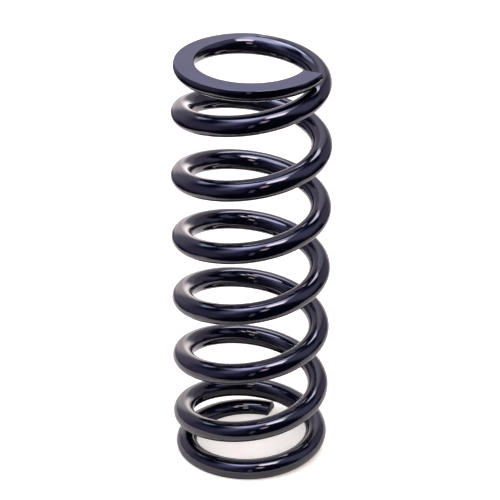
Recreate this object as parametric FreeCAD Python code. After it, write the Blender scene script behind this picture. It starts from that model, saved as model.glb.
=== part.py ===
import FreeCAD, Part
import math
import os

# Coilover spring: one length of round steel wire, wound right-handed into a straight coil.
# Both ends are closed down towards the next coil, cut off square and ground flat.
#
# Millimetres and degrees. The origin is on the coil's axis in the lower ground face, and +Z is up
# the axis. Azimuths run anticlockwise from +X, seen from above. Places along the wire are counted
# in turns from a tip.

# Sizes of the coil as a whole. The bore is what is clear right through, past both tips.
BORE_DIAMETER = 63.5
WIRE_DIAMETER = 12.5
FREE_LENGTH = 254.0
TOTAL_TURNS = 7.738
LOWER_TIP_AZIMUTH = 69.9

# Each end of the wire, counted in turns from its own tip. The wire keeps the closed pitch for
# flat_turns, and opens to the active pitch over ramp_turns. tip_gap is the air between the tip
# and the coil beside it, tip_tuck is how far the tip is drawn in towards the axis, tuck_turns is
# where that begins, and grind_depth is how much of the wire is ground away at the tip.
LOWER_END = {
    "flat_turns": 0.06,
    "ramp_turns": 1.64,
    "tip_gap": 1.0,
    "tip_tuck": 2.7,
    "tuck_turns": 1.45,
    "grind_depth": 6.1,
}
UPPER_END = {
    "flat_turns": 0.20,
    "ramp_turns": 0.97,
    "tip_gap": 0.3,
    "tip_tuck": 2.9,
    "tuck_turns": 2.3,
    "grind_depth": 4.15,
}

# Each tip is cut square to the wire, and this much is taken off its edge
TIP_CHAMFER = 0.6

# The centre line is made of arcs, two to a span
SPANS_PER_TURN = 6

# How far to each side a direction is measured, and how far a tool runs past what it cuts
SMALL_STEP = 1e-4
OVERRUN = 5.0

UP = FreeCAD.Vector(0, 0, 1)
ORIGIN = FreeCAD.Vector(0, 0, 0)
WIRE_RADIUS = WIRE_DIAMETER / 2
DEEPEST_TUCK = max(LOWER_END["tip_tuck"], UPPER_END["tip_tuck"])
COIL_RADIUS = BORE_DIAMETER / 2 + DEEPEST_TUCK + WIRE_RADIUS


def held_back(turns, end):
    """Turns of active pitch that an end has given up by this many turns from its tip.

    The closed pitch gives up all of them. On the ramp the pitch follows 3x^2 - 2x^3, so that the
    wire's slope has no corner, and what the ramp gives up is the integral of the rest.
    """
    if turns <= end["flat_turns"]:
        return turns
    x = min((turns - end["flat_turns"]) / end["ramp_turns"], 1.0)
    return end["flat_turns"] + end["ramp_turns"] * (x - x**3 + x**4 / 2)


def given_up(end):
    """Turns of active pitch that an end gives up altogether."""
    return end["flat_turns"] + end["ramp_turns"] / 2


def first_rise(end):
    """Rise of the first turn from a tip, which lays the next coil past the tip and its air gap."""
    return WIRE_DIAMETER + end["tip_gap"]


def closed_turns(end):
    """How many turns at its first rise an end comes to, taken out of the active turns."""
    return given_up(end) / held_back(1.0, end)


# The wire's centre starts and stops this far up the axis, at the two tips
LOWER_TIP_HEIGHT = WIRE_RADIUS - LOWER_END["grind_depth"]
UPPER_TIP_HEIGHT = FREE_LENGTH - WIRE_RADIUS + UPPER_END["grind_depth"]

# The active turns share the height that the closed turns leave
CLOSED_RISE = sum(closed_turns(end) * first_rise(end) for end in (LOWER_END, UPPER_END))
ACTIVE_TURNS = TOTAL_TURNS - closed_turns(LOWER_END) - closed_turns(UPPER_END)
ACTIVE_PITCH = (UPPER_TIP_HEIGHT - LOWER_TIP_HEIGHT - CLOSED_RISE) / ACTIVE_TURNS


def closed_pitch(end):
    """Pitch at a tip, such that the first turn has its rise."""
    share = held_back(1.0, end)
    return (first_rise(end) - ACTIVE_PITCH * (1.0 - share)) / share


def height(turns):
    """Height of the wire's centre, this many turns from the lower tip."""
    lower_loss = (ACTIVE_PITCH - closed_pitch(LOWER_END)) * held_back(turns, LOWER_END)
    upper_given_up = given_up(UPPER_END) - held_back(TOTAL_TURNS - turns, UPPER_END)
    upper_loss = (ACTIVE_PITCH - closed_pitch(UPPER_END)) * upper_given_up
    return LOWER_TIP_HEIGHT + ACTIVE_PITCH * turns - lower_loss - upper_loss


def tuck(turns, end):
    """How far the wire is drawn in, this many turns from an end's tip."""
    return end["tip_tuck"] * max(1.0 - turns / end["tuck_turns"], 0.0) ** 2


def centre(turns):
    """Centre of the wire, this many turns from the lower tip."""
    azimuth = math.radians(LOWER_TIP_AZIMUTH + 360.0 * turns)
    radius = COIL_RADIUS - tuck(turns, LOWER_END) - tuck(TOTAL_TURNS - turns, UPPER_END)
    return FreeCAD.Vector(radius * math.cos(azimuth), radius * math.sin(azimuth), height(turns))


def heading(turns):
    """Direction of the wire, this many turns from the lower tip, towards the upper tip."""
    return (centre(turns + SMALL_STEP) - centre(turns - SMALL_STEP)).normalize()


def arc(start, corner, end):
    """The circular arc from start to end that leaves and arrives along lines through corner."""
    middle = (start + end) * 0.5
    half_chord = (end - start).Length / 2
    sagitta = half_chord * math.tan(math.atan2((corner - middle).Length, half_chord) / 2)
    crown = middle + (corner - middle).normalize() * sagitta
    return Part.Arc(start, crown, end).toShape()


def arc_pair(start, out_of_start, end, into_end):
    """Two arcs that join two points in given directions, and meet in a common tangent.

    Both arcs have the same length of tangent, t. Their corners are 2t apart, which gives
    |chord - t * (out_of_start + into_end)| = 2t, a quadratic in t.
    """
    chord = end - start
    turn = out_of_start + into_end
    a = 4.0 - turn.dot(turn)
    b = 2.0 * chord.dot(turn)
    c = chord.dot(chord)
    tangent = (math.sqrt(b * b + 4.0 * a * c) - b) / (2.0 * a)
    first_corner = start + out_of_start * tangent
    second_corner = end - into_end * tangent
    meeting = (first_corner + second_corner) * 0.5
    return [arc(start, first_corner, meeting), arc(meeting, second_corner, end)]


def centre_line():
    """The wire's centre line from tip to tip, a chain of tangent arcs."""
    spans = math.ceil(TOTAL_TURNS * SPANS_PER_TURN)
    stations = [TOTAL_TURNS * i / spans for i in range(spans + 1)]
    arcs = []
    for here, there in zip(stations, stations[1:]):
        arcs += arc_pair(centre(here), heading(here), centre(there), heading(there))
    return Part.Wire(arcs)


def wound_wire():
    """The round wire before its ends are dressed."""
    section = Part.Wire([Part.Circle(centre(0.0), heading(0.0), WIRE_RADIUS).toShape()])
    return centre_line().makePipeShell([section], True, True)


def tip_chamfer(tip, outwards, end):
    """What comes off round a cut end: a thin ring, clear of the next coil, with a 45 degree cone."""
    clear = end["tip_gap"] / 2
    depth = TIP_CHAMFER + 2 * clear
    back = tip - outwards * (TIP_CHAMFER + clear)
    ring = Part.makeCylinder(WIRE_RADIUS + clear, depth, back, outwards)
    kept = Part.makeCone(WIRE_RADIUS + clear, WIRE_RADIUS + clear - depth, depth, back, outwards)
    return ring.cut(kept)


def between_ground_faces():
    """All the space between the two ground faces."""
    reach = COIL_RADIUS + WIRE_RADIUS + OVERRUN
    return Part.makeCylinder(reach, FREE_LENGTH, ORIGIN, UP)


def coil_spring():
    """The finished spring: wound, chamfered at its tips and ground flat at both ends."""
    lower = tip_chamfer(centre(0.0), -heading(0.0), LOWER_END)
    upper = tip_chamfer(centre(TOTAL_TURNS), heading(TOTAL_TURNS), UPPER_END)
    dressed = wound_wire().cut([lower, upper])
    return dressed.common(between_ground_faces()).Solids[0]


os.makedirs("parts", exist_ok=True)
coil_spring().exportStep("parts/coil_spring.step")
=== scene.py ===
"""The looks of a coilover spring: one length of round steel wire wound into a coil, with closed and
ground ends, in a dark blue gloss powder coat, standing on a white floor.

Metres and degrees throughout. The origin is on the coil's axis in the lower ground face, and +Z is
up the axis. Places along the wire are counted in turns from a tip, as in the part's own source.
"""

import math

import bpy
import numpy as np
from mathutils import Matrix, Vector


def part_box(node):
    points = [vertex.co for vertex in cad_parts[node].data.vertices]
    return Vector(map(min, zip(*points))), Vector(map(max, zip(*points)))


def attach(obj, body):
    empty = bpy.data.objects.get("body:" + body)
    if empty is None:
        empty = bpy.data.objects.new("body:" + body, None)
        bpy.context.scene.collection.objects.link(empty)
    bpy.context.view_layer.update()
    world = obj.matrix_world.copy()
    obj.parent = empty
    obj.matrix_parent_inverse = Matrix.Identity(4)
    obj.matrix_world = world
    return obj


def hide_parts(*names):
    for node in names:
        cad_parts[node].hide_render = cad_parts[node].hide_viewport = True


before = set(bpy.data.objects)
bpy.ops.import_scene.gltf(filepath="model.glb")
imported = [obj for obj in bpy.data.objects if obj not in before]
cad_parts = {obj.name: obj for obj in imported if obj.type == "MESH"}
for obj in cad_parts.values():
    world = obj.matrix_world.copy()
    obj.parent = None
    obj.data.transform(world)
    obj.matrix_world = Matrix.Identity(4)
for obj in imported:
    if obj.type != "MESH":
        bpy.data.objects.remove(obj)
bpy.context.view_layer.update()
MM = 0.001

# The coil, with the sizes of its solid
BORE_DIAMETER = 63.5 * MM
WIRE_DIAMETER = 12.5 * MM
FREE_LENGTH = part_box("coil_spring")[1].z
TOTAL_TURNS = 7.738
LOWER_TIP_AZIMUTH = 69.9
LOWER_END = {
    "flat_turns": 0.06,
    "ramp_turns": 1.64,
    "tip_gap": 1.0 * MM,
    "tip_tuck": 2.7 * MM,
    "tuck_turns": 1.45,
    "grind_depth": 6.1 * MM,
}
UPPER_END = {
    "flat_turns": 0.20,
    "ramp_turns": 0.97,
    "tip_gap": 0.3 * MM,
    "tip_tuck": 2.9 * MM,
    "tuck_turns": 2.3,
    "grind_depth": 4.15 * MM,
}
TIP_CHAMFER = 0.6 * MM

# The coat rounds over every edge: round the ground faces, and on both sides of a tip's chamfer
GROUND_EDGE_RADIUS = 0.35 * MM
TIP_SOFTENING = 0.12 * MM

# The shown wire lies this far inside the solid one, so that it stays within the solid's box
SHOWN_INSET = 0.02 * MM

WIRE_RADIUS = WIRE_DIAMETER / 2
SHOWN_RADIUS = WIRE_RADIUS - SHOWN_INSET
DEEPEST_TUCK = max(LOWER_END["tip_tuck"], UPPER_END["tip_tuck"])
COIL_RADIUS = BORE_DIAMETER / 2 + DEEPEST_TUCK + WIRE_RADIUS
TURN_LENGTH = 2 * math.pi * COIL_RADIUS


# The wire's centre line

# How far to each side a direction is measured, in turns
SMALL_STEP = 1e-4


def held_back(turns, end):
    """Turns of active pitch that an end has given up by this many turns from its tip."""
    x = np.clip((turns - end["flat_turns"]) / end["ramp_turns"], 0, 1)
    return np.minimum(turns, end["flat_turns"]) + end["ramp_turns"] * (x - x**3 + x**4 / 2)


def given_up(end):
    """Turns of active pitch that an end gives up altogether."""
    return end["flat_turns"] + end["ramp_turns"] / 2


def first_rise(end):
    """Rise of the first turn from a tip."""
    return WIRE_DIAMETER + end["tip_gap"]


def closed_turns(end):
    """How many turns at its first rise an end comes to."""
    return given_up(end) / held_back(1.0, end)


LOWER_TIP_HEIGHT = WIRE_RADIUS - LOWER_END["grind_depth"]
UPPER_TIP_HEIGHT = FREE_LENGTH - WIRE_RADIUS + UPPER_END["grind_depth"]
CLOSED_RISE = sum(closed_turns(end) * first_rise(end) for end in (LOWER_END, UPPER_END))
ACTIVE_TURNS = TOTAL_TURNS - closed_turns(LOWER_END) - closed_turns(UPPER_END)
ACTIVE_PITCH = (UPPER_TIP_HEIGHT - LOWER_TIP_HEIGHT - CLOSED_RISE) / ACTIVE_TURNS


def closed_pitch(end):
    """Pitch at a tip, such that the first turn has its rise."""
    share = held_back(1.0, end)
    return (first_rise(end) - ACTIVE_PITCH * (1 - share)) / share


def tuck(turns, end):
    """How far the wire is drawn in, this many turns from an end's tip."""
    return end["tip_tuck"] * np.clip(1 - turns / end["tuck_turns"], 0, 1) ** 2


def away_from_axis(turns):
    """Level unit directions from the axis to the wire, these many turns from the lower tip."""
    azimuth = np.radians(LOWER_TIP_AZIMUTH + 360 * turns)
    return np.stack([np.cos(azimuth), np.sin(azimuth), np.zeros(len(turns))], -1)


def centre(turns):
    """Centres of the wire, these many turns from the lower tip."""
    lower_loss = (ACTIVE_PITCH - closed_pitch(LOWER_END)) * held_back(turns, LOWER_END)
    upper_given_up = given_up(UPPER_END) - held_back(TOTAL_TURNS - turns, UPPER_END)
    upper_loss = (ACTIVE_PITCH - closed_pitch(UPPER_END)) * upper_given_up
    radius = COIL_RADIUS - tuck(turns, LOWER_END) - tuck(TOTAL_TURNS - turns, UPPER_END)
    points = away_from_axis(turns) * radius[:, None]
    points[:, 2] = LOWER_TIP_HEIGHT + ACTIVE_PITCH * turns - lower_loss - upper_loss
    return points


def unit(vectors):
    """The vectors at a length of 1."""
    return vectors / np.linalg.norm(vectors, axis=-1, keepdims=True)


def heading(turns):
    """Unit directions of the wire, towards the upper tip."""
    return unit(centre(turns + SMALL_STEP) - centre(turns - SMALL_STEP))


# The wire's surface: rings of points round the centre line. A ring starts at its lowest point and
# runs outwards and up. It has a lower and an upper cap, which lie in a ground face where there is
# one, a shoulder on each side of a cap, which rounds over the ground face's edge, and two flanks.

STEPS_PER_TURN = 104
HALF_CAP, SHOULDER, FLANK = 6, 3, 16
RING = 4 * (HALF_CAP + SHOULDER) + 2 * FLANK
OPEN_STEP = 2 * math.pi / RING

# A ground face ends where it has narrowed to this half angle, which its points then share. Past
# its end they spread out to even steps over this many turns.
CLOSED_CAP = math.radians(2.4)
CAP_OPENS_OVER = 0.14

# A ground face's end is looked for within this many turns of its tip, at this many places
LIFT_SEARCH_TURNS, LIFT_SEARCH_PLACES = 3, 6001

# Points nearer than this to a seat plane lie in it
IN_PLANE = 0.01 * MM

# A tip from the wire's full round to its end face: how far back from the end, and how far in. The
# softening takes this much off both corners of the chamfer. Two more rings lie in the end face, one
# near its rim and one near its middle.
CORNER_LOSS = 0.3 * TIP_SOFTENING
END_FACE_RIM, END_FACE_MIDDLE = 0.5 * MM, 3.2 * MM
TIP_PROFILE = [
    (TIP_CHAMFER + TIP_SOFTENING, 0.0),
    (TIP_CHAMFER, CORNER_LOSS),
    (TIP_CHAMFER - TIP_SOFTENING + CORNER_LOSS, TIP_SOFTENING),
    (TIP_SOFTENING, TIP_CHAMFER - TIP_SOFTENING + CORNER_LOSS),
    (CORNER_LOSS, TIP_CHAMFER),
    (0.0, TIP_CHAMFER + TIP_SOFTENING),
    (0.0, TIP_CHAMFER + END_FACE_RIM),
    (0.0, END_FACE_MIDDLE),
]

# This many bands of faces at each end of the wire have the finish of a cut end
END_FACE_BANDS = 3

# Where a tip's section is drawn in, its flats are drawn in by this share of that
FLAT_BREAK_SHARE = 0.5


def smoothstep(x):
    """Rises from 0 to 1 as x does, without a corner."""
    x = min(max(x, 0.0), 1.0)
    return x * x * (3 - 2 * x)


def half_cap(radius, level, opened):
    """A cap and shoulder, from the middle outwards, on a circle that a ground plane cuts off.

    level is how far the plane is from the circle's centre, and opened goes from 0 to 1 as the
    points spread out beyond the ground face's end. Gives points as (sideways, towards the plane).
    """
    rounding = GROUND_EDGE_RADIUS
    reach = (level - rounding) / (radius - rounding)
    if reach < math.cos(CLOSED_CAP):
        turn = math.acos(reach)
        edge = (radius - rounding) * math.sin(turn)
        flat = [(edge * k / HALF_CAP, level) for k in range(HALF_CAP + 1)]
        angles = [turn * k / SHOULDER for k in range(1, SHOULDER + 1)]
        return flat + [(edge + rounding * math.sin(a), level - rounding * (1 - math.cos(a)))
                       for a in angles]
    count = HALF_CAP + SHOULDER
    tight = CLOSED_CAP / count
    angles = [k * (tight + (OPEN_STEP - tight) * opened) for k in range(count + 1)]
    return [(radius * math.sin(a), min(radius * math.cos(a), level)) for a in angles]


def ring(radius, lower_level, upper_level, lower_opened, upper_opened):
    """A section's points as (outwards, up) from the wire's centre."""
    low = half_cap(radius, lower_level, lower_opened)
    high = half_cap(radius, upper_level, upper_opened)
    start = math.atan2(low[-1][0], low[-1][1])
    stop = math.pi - math.atan2(high[-1][0], high[-1][1])
    flank = [start + (stop - start) * k / FLANK for k in range(1, FLANK)]
    outer = [(x, -y) for x, y in low]
    outer += [(radius * math.sin(a), -radius * math.cos(a)) for a in flank]
    outer += [(x, y) for x, y in reversed(high)]
    inner = [(-x, y) for x, y in reversed(outer[1:-1])]
    return np.array(outer + inner)


def lift_off(end):
    """Turns from a tip to where the wire leaves its ground face."""
    turns = np.linspace(0, LIFT_SEARCH_TURNS, LIFT_SEARCH_PLACES)
    if end is LOWER_END:
        depth = centre(turns)[:, 2]
    else:
        depth = FREE_LENGTH - centre(TOTAL_TURNS - turns)[:, 2]
    return float(turns[np.argmax(depth >= SHOWN_RADIUS)])


def opened_at(turns_from_tip, lift):
    """How far a cap's points have spread: 0 up to the ground face's end, and 1 well past it."""
    return smoothstep((turns_from_tip - lift) / CAP_OPENS_OVER)


def stations():
    """Every ring as (turns from the lower tip, how far its section is drawn in)."""
    lower = [(back / TURN_LENGTH, inset) for back, inset in reversed(TIP_PROFILE)]
    upper = [(TOTAL_TURNS - back / TURN_LENGTH, inset) for back, inset in TIP_PROFILE]
    first, last = lower[-1][0], upper[0][0]
    steps = math.ceil((last - first) * STEPS_PER_TURN)
    between = [(first + (last - first) * k / steps, 0.0) for k in range(1, steps)]
    return lower + between + upper


def ring_points(places):
    """The points ring by ring, with those near a seat plane laid in it."""
    turns = np.array([turn for turn, _ in places])
    middles, headings = centre(turns), heading(turns)
    radial = away_from_axis(turns)
    outwards = unit(radial - (radial * headings).sum(-1, keepdims=True) * headings)
    upwards = np.cross(outwards, headings)
    lower_lift, upper_lift = lift_off(LOWER_END), lift_off(UPPER_END)
    points = []
    for (turn, inset), middle, out, up in zip(places, middles, outwards, upwards):
        lower_level = middle[2] / up[2] - inset * FLAT_BREAK_SHARE
        upper_level = (FREE_LENGTH - middle[2]) / up[2] - inset * FLAT_BREAK_SHARE
        section = ring(SHOWN_RADIUS - inset, lower_level, upper_level,
                       opened_at(turn, lower_lift), opened_at(TOTAL_TURNS - turn, upper_lift))
        points.append(middle + section[:, :1] * out + section[:, 1:] * up)
    points = np.array(points)
    heights = points[..., 2]
    heights[heights < IN_PLANE] = 0.0
    heights[heights > FREE_LENGTH - IN_PLANE] = FREE_LENGTH
    return points


def face_kind(band, bands, corner_heights):
    """What a face is: part of a cut end, of a ground face or of the coat."""
    if band < END_FACE_BANDS or band >= bands - END_FACE_BANDS:
        return "tip"
    if corner_heights.max() == 0.0 or corner_heights.min() == FREE_LENGTH:
        return "ground"
    return "coat"


def wire_mesh():
    """The whole wire as (points, faces, what each face is)."""
    points = ring_points(stations())
    heights = points[..., 2]
    bands = len(points) - 1
    faces, kinds = [], []
    for i in range(bands):
        here, there = i * RING, (i + 1) * RING
        for j in range(RING):
            k = (j + 1) % RING
            faces.append((here + j, there + j, there + k, here + k))
            kinds.append(face_kind(i, bands, heights[[i, i, i + 1, i + 1], [j, k, k, j]]))
    faces += [tuple(range(RING)), tuple(reversed(range(bands * RING, len(points) * RING)))]
    kinds += ["tip", "tip"]
    return points.reshape(-1, 3), faces, kinds


def weighted_normals(points, faces):
    """Normals at the points, from the faces round each and weighted by their areas, so that large
    flat faces stay flat and the rounded edges between them take up the turn."""
    normals = np.zeros_like(points)
    for face in faces:
        corners = points[list(face)]
        turned = np.cross(corners - corners[0], np.roll(corners, -1, 0) - corners[0]).sum(0)
        normals[list(face)] += turned
    return unit(normals)


# Building blocks for materials and objects

def new_material(name):
    """An empty node material, with its tree and its output node."""
    material = bpy.data.materials.new(name)
    material.use_nodes = True
    tree = material.node_tree
    tree.nodes.clear()
    return material, tree, tree.nodes.new("ShaderNodeOutputMaterial")


def add(tree, kind, **settings):
    """A node with its properties set."""
    node = tree.nodes.new(kind)
    for name, value in settings.items():
        setattr(node, name, value)
    return node


def combine(tree, kind, first, second):
    """A node that joins two shaders, which go into its last two inputs."""
    node = add(tree, kind)
    for shader, socket in zip((first, second), list(node.inputs)[-2:]):
        tree.links.new(shader, socket)
    return node


def emission(tree, colour, strength):
    """A glow of this colour, at a strength that another node gives."""
    node = add(tree, "ShaderNodeEmission")
    node.inputs["Color"].default_value = colour
    tree.links.new(strength, node.inputs["Strength"])
    return node.outputs["Emission"]


def product(tree, first, second):
    """The product of a node's output and another output or a number."""
    node = add(tree, "ShaderNodeMath", operation="MULTIPLY")
    tree.links.new(first, node.inputs[0])
    if isinstance(second, float):
        node.inputs[1].default_value = second
    else:
        tree.links.new(second, node.inputs[1])
    return node.outputs["Value"]


def noise(tree, where, scale, detail=2.0):
    """Noise from 0 to 1, its scale in waves per metre."""
    node = add(tree, "ShaderNodeTexNoise")
    node.inputs["Scale"].default_value = scale
    node.inputs["Detail"].default_value = detail
    tree.links.new(where, node.inputs["Vector"])
    return node.outputs["Fac"]


def map_range(tree, value, from_range, to_range, interpolation="LINEAR"):
    """A value carried over from one range to another, each given by its two ends."""
    node = add(tree, "ShaderNodeMapRange", interpolation_type=interpolation)
    tree.links.new(value, node.inputs["Value"])
    for name, (low, high) in (("From", from_range), ("To", to_range)):
        node.inputs[f"{name} Min"].default_value = low
        node.inputs[f"{name} Max"].default_value = high
    return node.outputs["Result"]


def bump(tree, height, distance, under=None):
    """A bump of this many metres at a strength of 1, on top of another where one is given."""
    node = add(tree, "ShaderNodeBump")
    node.inputs["Strength"].default_value = 1.0
    node.inputs["Distance"].default_value = distance
    tree.links.new(height, node.inputs["Height"])
    if under is not None:
        tree.links.new(under, node.inputs["Normal"])
    return node.outputs["Normal"]


def sheet_mesh(name, half_width, half_height):
    """A level rectangle about the origin."""
    signs = ((-1, -1), (1, -1), (1, 1), (-1, 1))
    corners = [(x * half_width, y * half_height, 0) for x, y in signs]
    mesh = bpy.data.meshes.new(name)
    mesh.from_pydata(corners, [], [(0, 1, 2, 3)])
    return mesh


def sheet_fade(tree, offsets, starts, halves):
    """1 in the middle of a sheet and 0 at its edges, falling between start and half both ways."""
    shares = []
    for offset, start, half in zip(offsets, starts, halves):
        away = add(tree, "ShaderNodeMath", operation="ABSOLUTE")
        tree.links.new(offset, away.inputs[0])
        fall = map_range(tree, away.outputs["Value"], (start, half), (1.0, 0.0), "SMOOTHSTEP")
        shares.append(fall)
    return product(tree, *shares)


def new_object(name, data):
    """An object in the scene."""
    thing = bpy.data.objects.new(name, data)
    bpy.context.scene.collection.objects.link(thing)
    return thing


def aimed(place, towards, turn):
    """The matrix of what stands at a place and looks this way along its own -Z, turned by this many
    degrees about that line."""
    facing = towards.to_track_quat("-Z", "Y").to_matrix().to_4x4()
    return Matrix.Translation(place) @ facing @ Matrix.Rotation(math.radians(turn), 4, "Z")


# The coated wire

# The flakes' colours head on and at a grazing angle, and the clear layer over them
NAVY = (0.0014, 0.0031, 0.0140, 1.0)
NAVY_ON_GROUND_FACE = (0.0210, 0.0310, 0.0780, 1.0)
NAVY_AT_GRAZING = (0.02, 0.05, 0.18, 1.0)
COAT_IOR = 1.8
PEEL_SIZE, FLAKE_SIZE = 2.4 * MM, 0.12 * MM
FLAKE_ROUGHNESS, FLAKE_TILT = 0.5, 0.006 * MM

# The gloss varies in patches: how fine they are, by what share, and over which range of the noise
PATCHES_PER_METRE, PATCHINESS = 60.0, 0.15
PATCH_RANGE = (0.3, 0.7)


def coat_material(name, roughness, peel_depth, grain=None, colour=NAVY):
    """Dark blue powder coat: a clear gloss over a dark layer of fine metallic flakes.

    peel_depth is the height of its orange peel, grain is the (size, depth) of what a ground or cut
    face shows through it, and colour is the flakes' own.
    """
    material, tree, output = new_material(name)
    place = add(tree, "ShaderNodeTexCoord").outputs["Object"]
    shader = add(tree, "ShaderNodeBsdfPrincipled")
    shader.inputs["Base Color"].default_value = colour
    shader.inputs["Metallic"].default_value = 1.0
    shader.inputs["Specular Tint"].default_value = NAVY_AT_GRAZING
    shader.inputs["Roughness"].default_value = FLAKE_ROUGHNESS
    shader.inputs["Coat Weight"].default_value = 1.0
    shader.inputs["Coat IOR"].default_value = COAT_IOR
    patches = noise(tree, place, PATCHES_PER_METRE, detail=3.0)
    span = (roughness * (1 - PATCHINESS), roughness * (1 + PATCHINESS))
    tree.links.new(map_range(tree, patches, PATCH_RANGE, span), shader.inputs["Coat Roughness"])
    normal = bump(tree, noise(tree, place, 1 / PEEL_SIZE), peel_depth)
    if grain is not None:
        size, depth = grain
        normal = bump(tree, noise(tree, place, 1 / size, detail=4.0), depth, normal)
    tree.links.new(normal, shader.inputs["Coat Normal"])
    flakes = noise(tree, place, 1 / FLAKE_SIZE, detail=1.0)
    tree.links.new(bump(tree, flakes, FLAKE_TILT, normal), shader.inputs["Normal"])
    tree.links.new(shader.outputs["BSDF"], output.inputs["Surface"])
    return material


def wire_piece():
    """The coated wire as one mesh with three finishes: as drawn, on ground faces, on cut ends."""
    points, faces, kinds = wire_mesh()
    mesh = bpy.data.meshes.new("spring_wire")
    mesh.from_pydata(points.tolist(), [], faces)
    finishes = {
        "coat": coat_material("gloss_coat", roughness=0.05, peel_depth=0.006 * MM),
        "ground": coat_material("coat_on_ground_face", roughness=0.33, peel_depth=0.010 * MM,
                                grain=(0.5 * MM, 0.012 * MM), colour=NAVY_ON_GROUND_FACE),
        "tip": coat_material("coat_on_cut_end", roughness=0.28, peel_depth=0.012 * MM,
                             grain=(0.8 * MM, 0.03 * MM)),
    }
    slots = {kind: i for i, kind in enumerate(finishes)}
    for material in finishes.values():
        mesh.materials.append(material)
    mesh.polygons.foreach_set("material_index", [slots[kind] for kind in kinds])
    mesh.polygons.foreach_set("use_smooth", [True] * len(faces))
    mesh.normals_split_custom_set_from_vertices(weighted_normals(points, faces))
    mesh.update()
    return new_object("spring_wire", mesh)


# The studio's lights are panes at one distance round the middle of the coil. Seen from there,
# azimuth 0 is towards the camera and 90 is to its right, and elevation is above the horizon.

MIDDLE = Vector((0.0, 0.0, FREE_LENGTH / 2))
CARD_DISTANCE = 1.2

# Each light's azimuth, elevation, degrees across and up, radiance, the share of its half that
# fades, and its turn about its own middle
LIGHTS = {
    "overhead_light": (-40, 84, 52, 64, (4.2, 4.2, 5.7), 0.65, 38),
    "front_key_light": (32, 60, 25, 18, (10.4, 9.2, 9.8), 0.35, 22),
    "back_left_light": (-130, 66, 15, 34, (4.5, 4.7, 6.1), 0.4, 0),
    "back_left_glow": (-130, 46, 34, 16, (1.56, 1.69, 2.47), 0.7, 0),
    "back_right_light": (153, 55, 32, 14, (4.9, 4.9, 6.1), 0.5, 0),
    "front_ceiling": (-44, 71, 89, 24, (0.44, 0.39, 0.79), 0.7, 32),
    "right_panel": (74, 36, 100, 56, (0.40, 0.38, 0.65), 0.73, 61),
    "front_left_wall": (-44, 47, 45, 64, (0.79, 0.79, 1.40), 1.0, 19),
    "left_wall": (-78, 5, 97, 77, (0.22, 0.20, 0.36), 0.69, -2),
    "back_left_wall": (-150, 29, 81, 120, (0.44, 0.41, 0.56), 0.79, -36),
    "back_wall": (166, 17, 50, 106, (0.48, 0.45, 0.53), 0.47, 2),
    "back_horizon": (176, -3, 88, 41, (1.10, 0.98, 0.93), 0.6, -20),
    "back_sweep": (171, 3, 40, 20, (1.32, 1.18, 1.18), 0.8, 0),
    "right_back_wall": (124, 16, 47, 58, (0.31, 0.27, 0.40), 0.39, -24),
    "window": (11, 32, 13, 16, (3.9, 2.93, 3.2), 0.6, 14),
    "camera_side_light": (-3, 6, 9, 31, (0.52, 0.49, 0.73), 0.6, 0),
    "front_low_glow": (-26, 18, 38, 61, (0.12, 0.10, 0.22), 0.74, -5),
}


def direction(azimuth, elevation):
    """A unit vector from the coil's middle."""
    a, e = math.radians(azimuth), math.radians(elevation)
    return Vector((math.sin(a) * math.cos(e), -math.cos(a) * math.cos(e), math.sin(e)))


def glow_material(name, radiance, edge):
    """A clear pane that glows: evenly in the middle, and fading over its outer edge, a share of its
    half. Panes that overlap add up, and none of them hides another."""
    material, tree, output = new_material(name)
    centred = add(tree, "ShaderNodeVectorMath", operation="SUBTRACT")
    tree.links.new(add(tree, "ShaderNodeTexCoord").outputs["UV"], centred.inputs[0])
    centred.inputs[1].default_value = (0.5, 0.5, 0.0)
    split = add(tree, "ShaderNodeSeparateXYZ")
    tree.links.new(centred.outputs["Vector"], split.inputs["Vector"])
    start = 0.5 * (1 - edge)
    fade = sheet_fade(tree, split.outputs[:2], (start, start), (0.5, 0.5))
    brightest = max(radiance)
    colour = (*(value / brightest for value in radiance), 1.0)
    glow = emission(tree, colour, product(tree, fade, brightest))
    clear = add(tree, "ShaderNodeBsdfTransparent").outputs["BSDF"]
    both = combine(tree, "ShaderNodeAddShader", glow, clear)
    tree.links.new(both.outputs["Shader"], output.inputs["Surface"])
    return material


def card(name, azimuth, elevation, width, height, radiance, edge, turn):
    """A soft light of this many degrees across and up, facing the coil and unseen by the camera."""
    halves = [CARD_DISTANCE * math.tan(math.radians(size / 2)) for size in (width, height)]
    mesh = sheet_mesh(name, *halves)
    mesh.uv_layers.new(name="UVMap").data.foreach_set("uv", [0, 0, 1, 0, 1, 1, 0, 1])
    mesh.materials.append(glow_material(name, radiance, edge))
    lamp = new_object(name, mesh)
    towards = direction(azimuth, elevation)
    lamp.matrix_world = aimed(MIDDLE + towards * CARD_DISTANCE, towards, turn)
    lamp.visible_camera = False


# The floor's near, far, left and right edges, and how wide they fade
FLOOR_FRONT, FLOOR_BACK = -0.125, 0.90
FLOOR_LEFT, FLOOR_RIGHT = -0.26, 0.38
FLOOR_FADE = 0.05

# The floor's own colour, and what the camera sees it add to that
FLOOR_COLOUR = (0.86, 0.82, 0.66, 1.0)
FLOOR_SHOWN = (1.0, 0.95, 0.88, 1.0)
FLOOR_SHOWN_STRENGTH = 0.56


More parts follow.
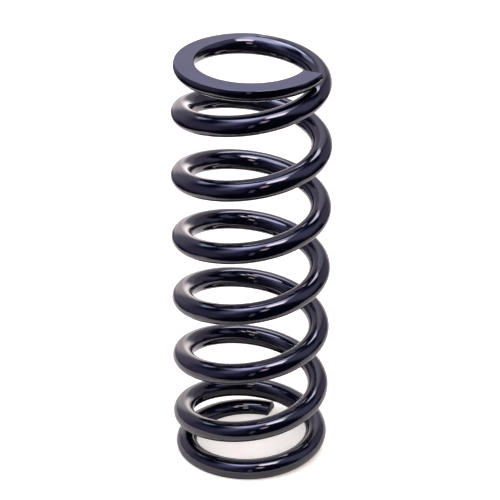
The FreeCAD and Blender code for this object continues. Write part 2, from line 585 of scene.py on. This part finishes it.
def paper_material(halves):
    """White paper that fades out at its edges. The camera sees it a little lighter than it is lit,
    as in the photograph, so that it merges with the white round it."""
    material, tree, output = new_material("floor_paper")
    split = add(tree, "ShaderNodeSeparateXYZ")
    tree.links.new(add(tree, "ShaderNodeTexCoord").outputs["Object"], split.inputs["Vector"])
    starts = [half - FLOOR_FADE for half in halves]
    fade = sheet_fade(tree, split.outputs[:2], starts, halves)
    paper = add(tree, "ShaderNodeBsdfDiffuse")
    paper.inputs["Color"].default_value = FLOOR_COLOUR
    to_camera = add(tree, "ShaderNodeLightPath").outputs["Is Camera Ray"]
    lift = emission(tree, FLOOR_SHOWN, product(tree, to_camera, FLOOR_SHOWN_STRENGTH))
    both = combine(tree, "ShaderNodeAddShader", paper.outputs["BSDF"], lift)
    clear = add(tree, "ShaderNodeBsdfTransparent").outputs["BSDF"]
    mix = combine(tree, "ShaderNodeMixShader", clear, both.outputs["Shader"])
    tree.links.new(fade, mix.inputs["Fac"])
    tree.links.new(mix.outputs["Shader"], output.inputs["Surface"])
    return material


def lay_floor():
    """The sheet that the coil stands on, which runs out behind it."""
    halves = ((FLOOR_RIGHT - FLOOR_LEFT) / 2, (FLOOR_BACK - FLOOR_FRONT) / 2)
    mesh = sheet_mesh("floor", *halves)
    mesh.materials.append(paper_material(halves))
    floor = new_object("floor", mesh)
    floor.location = ((FLOOR_LEFT + FLOOR_RIGHT) / 2, (FLOOR_FRONT + FLOOR_BACK) / 2, 0.0)


# The world, to the camera and to everything else
WHITE = (1, 1, 1, 1)
ROOM_COLOUR = (0.012, 0.010, 0.022, 1)


def surroundings():
    """White where the camera looks past the object, and a dim room in reflections."""
    world = bpy.data.worlds.new("studio")
    bpy.context.scene.world = world
    world.use_nodes = True
    tree = world.node_tree
    tree.nodes.clear()
    output = add(tree, "ShaderNodeOutputWorld")
    backgrounds = []
    for colour in (ROOM_COLOUR, WHITE):
        background = add(tree, "ShaderNodeBackground")
        background.inputs["Color"].default_value = colour
        backgrounds.append(background.outputs["Background"])
    mix = combine(tree, "ShaderNodeMixShader", *backgrounds)
    tree.links.new(add(tree, "ShaderNodeLightPath").outputs["Is Camera Ray"], mix.inputs["Fac"])
    tree.links.new(mix.outputs["Shader"], output.inputs["Surface"])


# The camera as it stood for the photograph, and how near and far it sees
CAMERA_PLACE = Vector((0.0, -1.24911, 0.77041))
CAMERA_AIM = Vector((-0.00063, 0.0, 0.13276))
CAMERA_ROLL = 0.205
FOCAL_LENGTH_MM, SENSOR_WIDTH_MM = 170.21, 36.0
NEAREST_SEEN, FARTHEST_SEEN = 0.05, 20.0


def photo_camera():
    """The camera, with the place, direction and lens that were fitted to the photograph."""
    data = bpy.data.cameras.new("camera")
    data.sensor_width = SENSOR_WIDTH_MM
    data.lens = FOCAL_LENGTH_MM
    data.clip_start, data.clip_end = NEAREST_SEEN, FARTHEST_SEEN
    camera = new_object("camera", data)
    camera.matrix_world = aimed(CAMERA_PLACE, CAMERA_AIM - CAMERA_PLACE, CAMERA_ROLL)
    bpy.context.scene.camera = camera


spring = wire_piece()
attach(spring, "root")
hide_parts("coil_spring")
lay_floor()
for name, light in LIGHTS.items():
    card(name, *light)
surroundings()
photo_camera()
bpy.context.scene.view_settings.view_transform = "Standard"
